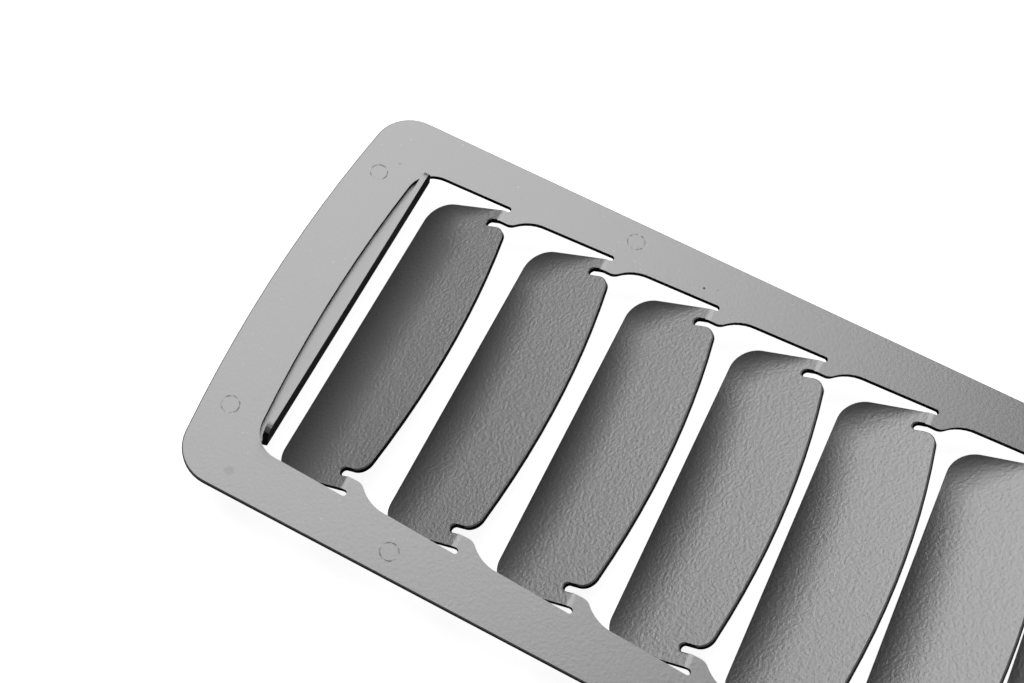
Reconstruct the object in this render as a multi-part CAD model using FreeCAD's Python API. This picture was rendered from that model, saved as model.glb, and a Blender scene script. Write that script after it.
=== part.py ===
import FreeCAD, Part
import math
import os

# Louvred sheet metal panel with a separate air lip, in millimetres.
# +X runs along the long rails, +Y across the panel, +Z up; the panel rests on z = 0.

# Sheet and blades
sheet = 1.5                  # both pieces are folded from the same gauge
blade_count = 7
blade_pitch = 31.5           # from one blade to the next
blade_tilt = 31.0            # degrees the blades are twisted out of the sheet
blade_reach = 24.1           # from a blade's hinge line down to its low edge
cut_gap = 0.4                # flat cut between a wing's tip and the next blade
low_corner_radius = 7.0
wing_bow_radius = 220.0
wing_corner_radius = 4.0
edge_break = 0.3             # coated edge left on the wings and around the panel

# Straps that carry the blades
strap_width = 3.6
strap_inner_radius = 1.2     # inside radius of the strap's fold
hook_width = 2.2             # slot between a strap and the end of its wing
hook_depth = 3.8             # how far that slot runs behind the hinge line

# Frame around the blades
panel_width = 124.0
rail_width = 13.5            # beside the slots, where a rail is narrowest
end_margin = 17.0            # at the middle of each bowed end
end_bow_radius = 440.0
panel_corner_radius = 11.0
lead_gap = 4.6               # flat gap before the first blade
tail_gap = 3.2               # flat gap after the last wing
window_corner_radius = 8.0
tail_corner_radius = 4.0
slot_width = 1.7             # between a strap and its rail
rail_relief = 0.9            # how much the rail's edge tapers in from that slot
shoulder_length = 2.2        # flat strap beyond the slot, before its curve
shoulder_radius = 3.0
rail_curve_length = 8.8      # along the rail, from shoulder to straight edge

# Air lip under the leading end
lip_height = 5.4             # above the panel's top face
lip_standoff = 6.1           # window's edge to the lip's upright, far face
lip_end_gap = 1.6            # the lip is this much shorter than a blade, at each end
lip_under = 12.4             # leg hidden below the end margin
lip_inner_radius = 0.5
lip_top_radius = 3.5
lip_leg_radius = 4.0

# Worked out from the dimensions above
tilt = math.radians(blade_tilt)
wing_reach = blade_pitch - blade_reach - cut_gap
strap_outer_radius = strap_inner_radius + sheet
fold_length = strap_outer_radius * math.tan(tilt / 2)
slot_radius = slot_width / 2
hinge_setback = slot_radius + fold_length
panel_half = panel_width / 2
slot_outside = panel_half - rail_width
rail_edge = slot_outside - rail_relief
blade_half = slot_outside - slot_width
strap_inside = blade_half - strap_width
wing_half = strap_inside - hook_width
lip_half = blade_half - lip_end_gap
panel_top = blade_reach * math.sin(tilt) + sheet * math.cos(tilt)
panel_under = panel_top - sheet
window_length = (lead_gap + blade_reach + wing_reach + tail_gap
                 + (blade_count - 1) * blade_pitch)
window_left = -window_length / 2
window_right = window_length / 2
panel_end = window_right + end_margin
first_hinge = window_left + lead_gap + blade_reach

X_AXIS = FreeCAD.Vector(1, 0, 0)
Y_AXIS = FreeCAD.Vector(0, 1, 0)
Z_AXIS = FreeCAD.Vector(0, 0, 1)
ORIGIN = FreeCAD.Vector(0, 0, 0)


def flat(x, y, z=0.0):
    return FreeCAD.Vector(x, y, z)


def line(start, end):
    return Part.LineSegment(start, end).toShape()


def arc(start, middle, end):
    return Part.Arc(start, middle, end).toShape()


def bowed_end(apex, radius, half, side):
    """Arc that bulges towards side (+1 or -1) with its apex on the X axis."""
    corner = apex - side * (radius - math.sqrt(radius ** 2 - half ** 2))
    return arc(flat(corner, -half), flat(apex, 0), flat(corner, half))


def plate(edges, thickness=sheet):
    """Close the edges into a face with its top at z = 0 and thicken it downwards."""
    wire = Part.Wire(Part.__sortEdges__(edges))
    return Part.Face(wire).extrude(Z_AXIS * -thickness)


def upright_edges(shape, accept):
    """Straight edges along Z whose position (x, y) is accepted."""
    found = []
    for edge in shape.Edges:
        first, last = edge.Vertexes[0].Point, edge.Vertexes[-1].Point
        if abs(first.x - last.x) + abs(first.y - last.y) < 1e-6 and accept(first.x, abs(first.y)):
            found.append(edge)
    return found


def top_edges(shape, accept):
    """Edges lying in the plane z = 0 whose middle point is accepted."""
    found = []
    for edge in shape.Edges:
        box = edge.BoundBox
        if max(abs(box.ZMin), abs(box.ZMax)) < 1e-6 and accept(edge.CenterOfMass):
            found.append(edge)
    return found


def mirrored(edge):
    return edge.mirror(ORIGIN, Y_AXIS)


def hinge_x(index):
    return first_hinge + index * blade_pitch


def panel_blank():
    """Outer sheet with bowed ends, rounded corners and a broken top edge."""
    left = bowed_end(-panel_end, end_bow_radius, panel_half, -1)
    right = bowed_end(panel_end, end_bow_radius, panel_half, 1)
    corner = right.Vertexes[0].Point.x
    sides = [line(flat(-corner, side * panel_half), flat(corner, side * panel_half))
             for side in (-1, 1)]
    blank = plate([left, right] + sides)
    corners = upright_edges(blank, lambda x, y: True)
    blank = blank.makeFillet(panel_corner_radius, corners)
    return blank.makeChamfer(edge_break, top_edges(blank, lambda middle: True))


def rail_cell(index):
    """Upper edge of the window from one slot, round its strap, to the next slot."""
    slot_centre = hinge_x(index) + fold_length
    slot_top = flat(slot_centre, slot_outside)
    slot_tip = flat(slot_centre + slot_radius, blade_half + slot_radius)
    strap_top = flat(slot_centre, blade_half)
    strap_root = flat(slot_centre, strap_inside)
    edges = [arc(slot_top, slot_tip, strap_top), line(strap_top, strap_root)]
    if index == blade_count - 1:
        return edges, strap_root

    shoulder = flat(slot_tip.x + shoulder_length, strap_inside)
    rail_start = flat(shoulder.x + rail_curve_length, rail_edge)
    rise = rail_edge - strap_inside
    radius = (rail_curve_length ** 2 + rise ** 2) / (2 * rise)
    centre = rail_start - Y_AXIS * radius
    half_turn = math.atan2(rail_curve_length, radius - rise) / 2
    middle = centre + flat(-math.sin(half_turn), math.cos(half_turn)) * radius
    next_slot = flat(slot_centre + blade_pitch, slot_outside)
    edges += [line(strap_root, shoulder), arc(shoulder, middle, rail_start),
              line(rail_start, next_slot)]
    return edges, next_slot


def window():
    """One opening for all the blades; the straps are tongues in its long edges."""
    bow = end_bow_radius - end_margin
    left = bowed_end(window_left, bow, rail_edge, -1)
    right = bowed_end(window_right, bow, strap_inside, 1)
    start = flat(left.Vertexes[0].Point.x, rail_edge)
    upper = [line(start, flat(hinge_x(0) + fold_length, slot_outside))]
    for index in range(blade_count):
        edges, last = rail_cell(index)
        upper += edges
    upper.append(line(last, flat(right.Vertexes[0].Point.x, strap_inside)))
    opening = plate([left, right] + upper + [mirrored(edge) for edge in upper])

    lead_corners = upright_edges(opening, lambda x, y: x < window_left + lead_gap)
    opening = opening.makeFillet(window_corner_radius, lead_corners)
    tail_corners = upright_edges(opening, lambda x, y: x > window_right - tail_gap)
    opening = opening.makeFillet(tail_corner_radius, tail_corners)
    shoulders = upright_edges(opening, lambda x, y: any(
        abs(x - hinge_x(index) - hinge_setback - shoulder_length) < slot_radius
        and abs(y - strap_inside) < slot_radius for index in range(blade_count - 1)))
    return opening.makeFillet(shoulder_radius, shoulders)


def blade():
    """A blade lying flat, hinge line on x = 0, low edge on the left, wing on the right."""
    hook_radius = hook_width / 2
    hook_x = hook_radius - hook_depth
    wing_edge = bowed_end(wing_reach, wing_bow_radius, wing_half, 1)
    wing_corner = flat(wing_edge.Vertexes[0].Point.x, wing_half)
    low_corner = flat(-blade_reach, blade_half)
    strap_top = flat(-fold_length, blade_half)
    strap_bottom = flat(-fold_length, strap_inside)
    hook_top = flat(hook_x, strap_inside)
    hook_tip = flat(-hook_depth, wing_half + hook_radius)
    hook_bottom = flat(hook_x, wing_half)
    half = [line(low_corner, strap_top), line(strap_top, strap_bottom),
            line(strap_bottom, hook_top), arc(hook_top, hook_tip, hook_bottom),
            line(hook_bottom, wing_corner)]
    low_edge = line(low_corner, mirrored(half[0]).Vertexes[0].Point)
    flat_blade = plate([low_edge, wing_edge] + half + [mirrored(edge) for edge in half])

    low_corners = upright_edges(flat_blade, lambda x, y: x < -blade_reach / 2)
    flat_blade = flat_blade.makeFillet(low_corner_radius, low_corners)
    wing_corners = upright_edges(flat_blade, lambda x, y: x > 0)
    flat_blade = flat_blade.makeFillet(wing_corner_radius, wing_corners)
    wing_rim = top_edges(flat_blade, lambda middle: middle.x > wing_reach / 4)
    return flat_blade.makeChamfer(edge_break, wing_rim)


def strap_fold(side):
    """Curved piece of strap between the flat frame and the tilted blade."""
    corners = [flat(fold_length, side * y, z)
               for y, z in ((strap_inside, 0), (blade_half, 0),
                            (blade_half, -sheet), (strap_inside, -sheet))]
    section = Part.Face(Part.makePolygon(corners + corners[:1]))
    axis_point = flat(fold_length, 0, -strap_outer_radius)
    return section.revolve(axis_point, Y_AXIS, -blade_tilt)


def louvre_panel():
    tilted = blade()
    tilted.rotate(ORIGIN, Y_AXIS, -blade_tilt)
    element = tilted.fuse([strap_fold(1), strap_fold(-1)])
    elements = []
    for index in range(blade_count):
        placed = element.copy()
        placed.translate(X_AXIS * hinge_x(index))
        elements.append(placed)
    panel = panel_blank().cut(window()).fuse(elements).removeSplitter()
    panel.translate(Z_AXIS * panel_top)
    return panel


def air_lip():
    """L-section strip: a leg below the end margin and a low upright in the window."""
    right_face = window_left + lip_standoff
    outer_radius = lip_inner_radius + sheet
    fold_x = right_face - outer_radius
    leg_end = window_left - lip_under
    leg = Part.makeBox(fold_x - leg_end, 2 * lip_half, sheet, flat(leg_end, -lip_half))
    leg = leg.makeFillet(lip_leg_radius, upright_edges(leg, lambda x, y: x < fold_x))

    section = [flat(fold_x, -lip_half, z) for z in (0, sheet)]
    section += [flat(fold_x, lip_half, z) for z in (sheet, 0)]
    fold = Part.Face(Part.makePolygon(section + section[:1]))
    fold = fold.revolve(flat(fold_x, 0, outer_radius), Y_AXIS, -90)

    height = panel_top + lip_height - (panel_under - sheet) - outer_radius
    upright = Part.makeBox(sheet, 2 * lip_half, height,
                           flat(right_face - sheet, -lip_half, outer_radius))
    ends = [edge for edge in upright.Edges
            if edge.BoundBox.XLength > sheet / 2 and edge.BoundBox.ZMin > outer_radius + sheet]
    upright = upright.makeFillet(lip_top_radius, ends)

    lip = leg.fuse([fold, upright]).removeSplitter()
    lip.translate(Z_AXIS * (panel_under - sheet))
    return lip


os.makedirs("parts", exist_ok=True)
for name, shape in (("louvre_panel", louvre_panel()), ("air_lip", air_lip())):
    solid = shape.Solids[0]
    box = solid.BoundBox
    print(name, len(shape.Solids), "solid", solid.isValid(), round(solid.Volume, 1),
          [round(v, 2) for v in (box.XMin, box.XMax, box.YMin, box.YMax, box.ZMin, box.ZMax)])
    solid.exportStep("parts/" + name + ".step")
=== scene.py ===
import math

import bpy
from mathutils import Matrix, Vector


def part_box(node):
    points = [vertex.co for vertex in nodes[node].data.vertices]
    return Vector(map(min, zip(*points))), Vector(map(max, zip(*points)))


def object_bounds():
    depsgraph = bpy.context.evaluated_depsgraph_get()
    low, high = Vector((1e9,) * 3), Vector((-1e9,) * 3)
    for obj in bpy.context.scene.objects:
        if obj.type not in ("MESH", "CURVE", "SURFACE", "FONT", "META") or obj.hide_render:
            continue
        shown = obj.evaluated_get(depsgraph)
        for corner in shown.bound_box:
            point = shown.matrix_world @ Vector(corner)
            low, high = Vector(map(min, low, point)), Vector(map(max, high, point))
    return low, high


# %% [markdown]
# # A louvred sheet metal panel
#
# The object is a flat vent panel: a frame of 1.5 mm sheet with seven tilted blades, each
# held by two short folded straps, and a low L-shaped strip at its leading end that catches
# the air. Both pieces have the same satin powder coat. The folded metal comes ready-made
# from the frame file, so this script dresses it, lights it and sets the camera.

# %% Load the metal
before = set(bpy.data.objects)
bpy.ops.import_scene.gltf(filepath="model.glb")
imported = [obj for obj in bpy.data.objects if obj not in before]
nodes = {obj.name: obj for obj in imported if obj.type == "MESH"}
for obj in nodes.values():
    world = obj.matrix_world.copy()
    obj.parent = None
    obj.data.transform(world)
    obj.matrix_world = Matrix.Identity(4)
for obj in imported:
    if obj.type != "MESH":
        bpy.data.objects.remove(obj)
start_box = [list(corner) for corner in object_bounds()]
panel = nodes["louvre_panel"]
lip = nodes["air_lip"]
print("pieces:", sorted(nodes), "box in mm:", [[round(v * 1000, 1) for v in c] for c in start_box])


# %% [markdown]
# ## Shader sums in plain arithmetic
#
# A powder coat is described here by sums of noise fields and distances. They could be
# built node by node, or painted on a map, but the first hides the sum and the second has a
# fixed sharpness. So a small class wraps a node's output and lets the usual operators add
# the nodes. Writing `0.5 + 0.1 * speck` then reads as it would on paper.

# %% A socket that can be added and multiplied
class Field:
    """One number of a shader, at each point of a surface."""

    def __init__(self, paint, socket):
        self.paint = paint
        self.socket = socket

    def _math(self, operation, *inputs):
        values = {place: getattr(value, "socket", value) for place, value in enumerate(inputs)}
        return Field(self.paint, self.paint.node("ShaderNodeMath", {"operation": operation}, values))

    def __add__(self, other):
        return self._math("ADD", self, other)

    def __radd__(self, other):
        return self._math("ADD", other, self)

    def __sub__(self, other):
        return self._math("SUBTRACT", self, other)

    def __rsub__(self, other):
        return self._math("SUBTRACT", other, self)

    def __mul__(self, other):
        return self._math("MULTIPLY", self, other)

    def __rmul__(self, other):
        return self._math("MULTIPLY", other, self)

    def __pow__(self, other):
        return self._math("POWER", self, other)

    def __abs__(self):
        return self._math("ABSOLUTE", self)

    def root(self):
        return self._math("SQRT", self)

    def most(self, other):
        return self._math("MAXIMUM", self, other)

    def step(self, low, high):
        """0 below low, 1 above high, smooth between."""
        settings = {"interpolation_type": "SMOOTHSTEP"}
        sockets = {"Value": self.socket, "From Min": low, "From Max": high}
        return Field(self.paint, self.paint.node("ShaderNodeMapRange", settings, sockets))


# %% [markdown]
# ## One paint, described once
#
# `Paint` holds a material's node tree. `node` adds any node with its settings and sockets
# and hands back one output. Every node of the coat and of the table goes through it, so
# the finish below can be read without knowing how Blender links its nodes.

# %% The paint and its nodes
class Paint:
    """A material whose nodes are added by name."""

    def __init__(self, name):
        self.material = bpy.data.materials.new(name)
        self.material.use_nodes = True
        self.tree = self.material.node_tree
        self.tree.nodes.clear()

    def node(self, kind, settings=None, sockets=None, output=0):
        made = self.tree.nodes.new(kind)
        for key, value in (settings or {}).items():
            setattr(made, key, value)
        for place, value in (sockets or {}).items():
            if isinstance(value, bpy.types.NodeSocket):
                self.tree.links.new(value, made.inputs[place])
            else:
                made.inputs[place].default_value = value
        return made.outputs[output] if output is not None else made

    def place(self):
        """The point's own place on the object, in metres."""
        return self.node("ShaderNodeTexCoord", output="Object")

    def axis(self, vector, name):
        return Field(self, self.node("ShaderNodeSeparateXYZ", {}, {0: vector}, output=name))

    def noise(self, vector, spacing, detail=2.0):
        """Noise between 0 and 1 whose swells lie about one spacing apart, in metres."""
        sockets = {"Vector": vector, "Scale": 1 / spacing, "Detail": detail}
        return Field(self, self.node("ShaderNodeTexNoise", {}, sockets))

    def grey(self, tone):
        """A colour whose three parts are the same field."""
        return self.node("ShaderNodeCombineColor", {}, {part: tone.socket for part in range(3)})

    def bump(self, height, distance):
        """Normal of a surface that stands `distance` high where height is 1."""
        sockets = {"Height": height.socket, "Distance": distance}
        return self.node("ShaderNodeBump", {}, sockets, output="Normal")

    def finish(self, shader):
        self.node("ShaderNodeOutputMaterial", {}, {"Surface": shader}, output=None)
        return self.material

    def shade(self, base, roughness, normal, **constants):
        """End the tree in one Principled shader; constants are set on its own sockets."""
        sockets = {"Base Color": base, "Roughness": roughness, "Normal": normal, **constants}
        return self.finish(self.node("ShaderNodeBsdfPrincipled", {}, sockets))


# %% [markdown]
# ## Flush studs under the coat
#
# Eight small round fasteners appear to sit flush in the frame: one at each corner of the
# bowed ends and two along each rail. Only a hairline ring shows where the coat sank into
# the seam, broken where it filled up. A ring could be a cut groove, but at 0.2 mm wide it
# would cost thousands of triangles, so it is drawn in the finish: a distance to each centre
# gives the ring, and a noise breaks it. The rails' studs sit in point symmetry.

# %% Where the studs are, in metres
low, high = (Vector(corner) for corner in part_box("louvre_panel"))
middle = (low + high) / 2
END_STUD_INSET = 0.0094              # from the bowed end's furthest point
END_STUD_OFFSET = 0.0406             # to either side of the long axis
RAIL_STUD_INSET = 0.0062             # from the long edge
RAIL_STUD_PLACES = (0.0489, 0.0670)  # from the middle, along the rail
STUD_RADIUS = 0.0024
SEAM_WIDTH = 0.00022
SEAM_CORE = SEAM_WIDTH / 3           # the part that is fully dark

end_x = high.x - middle.x - END_STUD_INSET
rail_y = high.y - middle.y - RAIL_STUD_INSET
near, far = RAIL_STUD_PLACES
studs = [(side * end_x, across * END_STUD_OFFSET) for side in (-1, 1) for across in (-1, 1)]
studs += [(side * -near, side * rail_y) for side in (-1, 1)]
studs += [(side * far, side * rail_y) for side in (-1, 1)]
print("studs in mm:", [(round(x * 1000, 1), round(y * 1000, 1)) for x, y in studs])

# %% [markdown]
# ## The powder coat
#
# Powder is sprayed on dry and melts into a skin of about 0.08 mm. It levels almost, but
# not quite, which leaves the low ripple called orange peel, about a millimetre across.
# The grains of powder leave a finer grain on top. Neither needs geometry, as both are far
# lower than the sheet is thick, so they go into the normal, as two noises of real scale.
# The peel shows most on the blades, which catch the edge of the light. The grey is mostly
# a soft mirror of the room, so the coat is set as partly metallic and not as flat paint.
#
# The sheet's cut edges are painted almost black and matt. This is painted shade, for they lie in
# shade. The normal's own height tells a cut edge from a face, since a face lies flat or is tilted by
# the blades' 31 degrees.
# The lip's upright is told as an edge by this rule too, so its broad faces get the same
# painted shade.

# %% Sizes of the coat's texture, in metres and shares
COAT_GREY = 0.47
COAT_METAL = 0.75
COAT_ROUGHNESS = 0.42
COAT_RELIEF = 0.00008

PEEL_SPACING = 0.0009
GRAIN_SPACING = 0.0003
CLOUD_SPACING = 0.035
SPECK_SPACING = 0.0008
BREAK_SPACING = 1 / 900

PEEL_SHARE = 0.7
GRAIN_SHARE = 0.3
FLAT_RIPPLE = 0.7                    # how strong the peel is on the frame
BLADE_RIPPLE = 1.3                   # added to that on the blades
SEAM_SINK = 0.6

CLOUD_BASE = 0.97
CLOUD_SHARE = 0.06
SEAM_SHADE = 0.45
SEAM_BREAKS = (0.35, 0.65)           # of the noise: filled below, open above
SPECK_LIMITS = (0.83, 0.86)
SPECK_GLOW = 0.15
GRAIN_SATIN = 0.10
CLOUD_SATIN = 0.04

# Painted shade: every near-upright surface, both the cut edges and the lip's upright, is painted
# near black and matt
EDGE_PAINTED_SHADE_GREY = 0.02
EDGE_ROUGHNESS = 0.6
PAINTED_SHADE_TURN = (0.6, 0.7)               # height of the normal: a cut edge below, a face above
BLADE_TURN = (0.88, 0.97)            # height of the normal: a blade below, the frame above

# Small marks in the coat: x, y, radius and how much darker the middle is
SMUDGES = ((-0.0268, 0.0516, 0.00035, 0.85), (-0.1126, -0.0564, 0.0013, 0.12),
           (-0.1178, 0.0459, 0.0004, 0.25), (-0.0232, 0.0529, 0.0003, 0.2))
SMUDGE_CORE = 0.6                    # of its radius
SMUDGE_RIM = 1.3


# %% Parts of the finish
def distance_to(centre, x, y):
    """Distance across the sheet from a centre, in metres."""
    return ((x - centre[0]) ** 2 + (y - centre[1]) ** 2).root()


def stud_seams(x, y, breaks):
    """1 in the hairline rings round the studs, fading where the coat has filled them."""
    rings = 0.0
    for centre in studs:
        off_seam = abs(distance_to(centre, x, y) - STUD_RADIUS)
        rings = (1 - off_seam.step(SEAM_CORE, SEAM_WIDTH)) + rings
    return rings * breaks


def smudged(tone, x, y):
    """The tone, darkened at each small mark."""
    for across, along, radius, depth in SMUDGES:
        off_centre = distance_to((across, along), x, y)
        mark = 1 - off_centre.step(radius * SMUDGE_CORE, radius * SMUDGE_RIM)
        tone = tone * (1 - depth * mark)
    return tone


# %% The finish itself
def powder_coat(name):
    """Satin grey with orange peel, grain, specks, stud rings, and painted shade on cut edges and the
    lip's upright.
    """
    paint = Paint(name)
    place = paint.place()
    x, y = paint.axis(place, "X"), paint.axis(place, "Y")
    facing = paint.node("ShaderNodeTexCoord", output="Normal")
    upward = abs(paint.axis(facing, "Z"))
    face_outside_painted_shade = upward.step(*PAINTED_SHADE_TURN)
    tilted = 1 - upward.step(*BLADE_TURN)

    peel = paint.noise(place, PEEL_SPACING, detail=1.0)
    grain = paint.noise(place, GRAIN_SPACING)
    cloud = paint.noise(place, CLOUD_SPACING, detail=3.0)
    speck = paint.noise(place, SPECK_SPACING, detail=0.0).step(*SPECK_LIMITS)
    seams = stud_seams(x, y, paint.noise(place, BREAK_SPACING).step(*SEAM_BREAKS))

    tone = COAT_GREY * (CLOUD_BASE + CLOUD_SHARE * cloud) * (1 - SEAM_SHADE * seams)
    tone = smudged(tone + SPECK_GLOW * speck, x, y)
    # Painted shade: where the normal lies near level, on cut edges and the lip's upright, the tone
    # falls to near black
    tone = EDGE_PAINTED_SHADE_GREY + (tone - EDGE_PAINTED_SHADE_GREY) * face_outside_painted_shade

    satin = COAT_ROUGHNESS + GRAIN_SATIN * (grain - 0.5) + CLOUD_SATIN * (cloud - 0.5)
    roughness = EDGE_ROUGHNESS + (satin - EDGE_ROUGHNESS) * face_outside_painted_shade
    ripple = (PEEL_SHARE * peel + GRAIN_SHARE * grain) * (FLAT_RIPPLE + BLADE_RIPPLE * tilted)
    normal = paint.bump(ripple - SEAM_SINK * seams, COAT_RELIEF)
    return paint.shade(paint.grey(tone), roughness.socket, normal, Metallic=COAT_METAL)


coat = powder_coat("satin powder coat")
for piece in (panel, lip):
    for entry in piece.material_slots:
        entry.material = coat
    print(piece.name, "slots:", len(piece.material_slots), "faces:", len(piece.data.polygons))

# %% [markdown]
# ## The table
#
# The panel rests on its blades' low edges on a pale table. A white table under a lamp
# never comes out evenly white, and more light would bleach the panel, so the table answers
# each kind of ray by itself: white to the camera, paler grey to gloss, and dark to the
# light that it would throw back onto the panel. It still takes the panel's shadow.

# %% Table
TABLE_HALF = 3.0
TABLE_WHITE = 1.0                    # as the camera and glass see it
TABLE_PALE = 0.5                     # as gloss sees it
TABLE_TONE = 0.12                    # for the light that it throws back
TABLE_GLOW = 0.9                     # for the camera and glass only

floor_z = start_box[0][2]
corners = [(x, y, floor_z) for x, y in ((-TABLE_HALF, -TABLE_HALF), (TABLE_HALF, -TABLE_HALF),
                                        (TABLE_HALF, TABLE_HALF), (-TABLE_HALF, TABLE_HALF))]
table_mesh = bpy.data.meshes.new("table")
table_mesh.from_pydata(corners, [], [(0, 1, 2, 3)])
table = bpy.data.objects.new("table", table_mesh)
bpy.context.scene.collection.objects.link(table)

top = Paint("pale table")
camera_ray, glossy_ray, glass_ray = (
    Field(top, top.node("ShaderNodeLightPath", output=name))
    for name in ("Is Camera Ray", "Is Glossy Ray", "Is Transmission Ray"))
viewer = camera_ray.most(glass_ray)
tone = (TABLE_TONE + (TABLE_WHITE - TABLE_TONE) * viewer
        + (TABLE_PALE - TABLE_TONE) * glossy_ray)
matt = top.node("ShaderNodeBsdfDiffuse", {}, {"Color": top.grey(tone)})
shine = top.node("ShaderNodeEmission", {}, {"Strength": (viewer * TABLE_GLOW).socket})
table.data.materials.append(top.finish(top.node("ShaderNodeAddShader", {}, {0: matt, 1: shine})))
print("table at z =", round(floor_z * 1000, 2), "mm")

# %% [markdown]
# ## The light
#
# One broad lamp stands high on the left, behind the panel. A small lamp would put a hard
# spot on a satin coat; this one is wider than the panel is long, so the flat frame mirrors
# it softly and evenly while the tilted blades mirror the darker room beside it.

# %% Light
LAMP_PLACE = Vector((-0.45, 0.55, 0.95))
LAMP_SIZE = 1.4
LAMP_POWER = 9
ROOM_LIGHT = 0.05

softbox = bpy.data.lights.new("softbox", "AREA")
softbox.size = LAMP_SIZE
softbox.energy = LAMP_POWER
lamp = bpy.data.objects.new("softbox", softbox)
lamp.location = LAMP_PLACE
lamp.rotation_euler = (-LAMP_PLACE).to_track_quat("-Z", "Y").to_euler()
bpy.context.scene.collection.objects.link(lamp)

world = bpy.data.worlds.new("studio")
world.use_nodes = True
room = world.node_tree.nodes["Background"].inputs
room["Color"].default_value = (1, 1, 1, 1)
room["Strength"].default_value = ROOM_LIGHT
bpy.context.scene.world = world
bpy.context.scene.view_settings.view_transform = "Standard"
print("lamp", round(LAMP_PLACE.length, 2), "m away,", LAMP_SIZE, "m wide")

# %% [markdown]
# ## The camera
#
# The view looks down from the front of the leading end, turned so that the rails run
# across the picture. A small shift puts the corner where it belongs without tilting the
# camera further, which would change how much each blade covers of the gap behind it.

# %% Camera
CAMERA_PLACE = (-0.0193, -0.1840, 0.4063)
CAMERA_TURN = (29.78, -3.24, 27.65)  # degrees
FOCAL_LENGTH = 58.08                 # millimetres
SENSOR_WIDTH = 36
SHIFT = 0.100
NEAREST = 0.01

lens = bpy.data.cameras.new("viewpoint")
lens.sensor_width = SENSOR_WIDTH
lens.lens = FOCAL_LENGTH
lens.shift_x = SHIFT
lens.shift_y = -SHIFT
lens.clip_start = NEAREST
camera = bpy.data.objects.new("viewpoint", lens)
camera.location = CAMERA_PLACE
camera.rotation_euler = [math.radians(angle) for angle in CAMERA_TURN]
bpy.context.scene.collection.objects.link(camera)
bpy.context.scene.camera = camera
print("lens", FOCAL_LENGTH, "mm, camera at", CAMERA_PLACE)
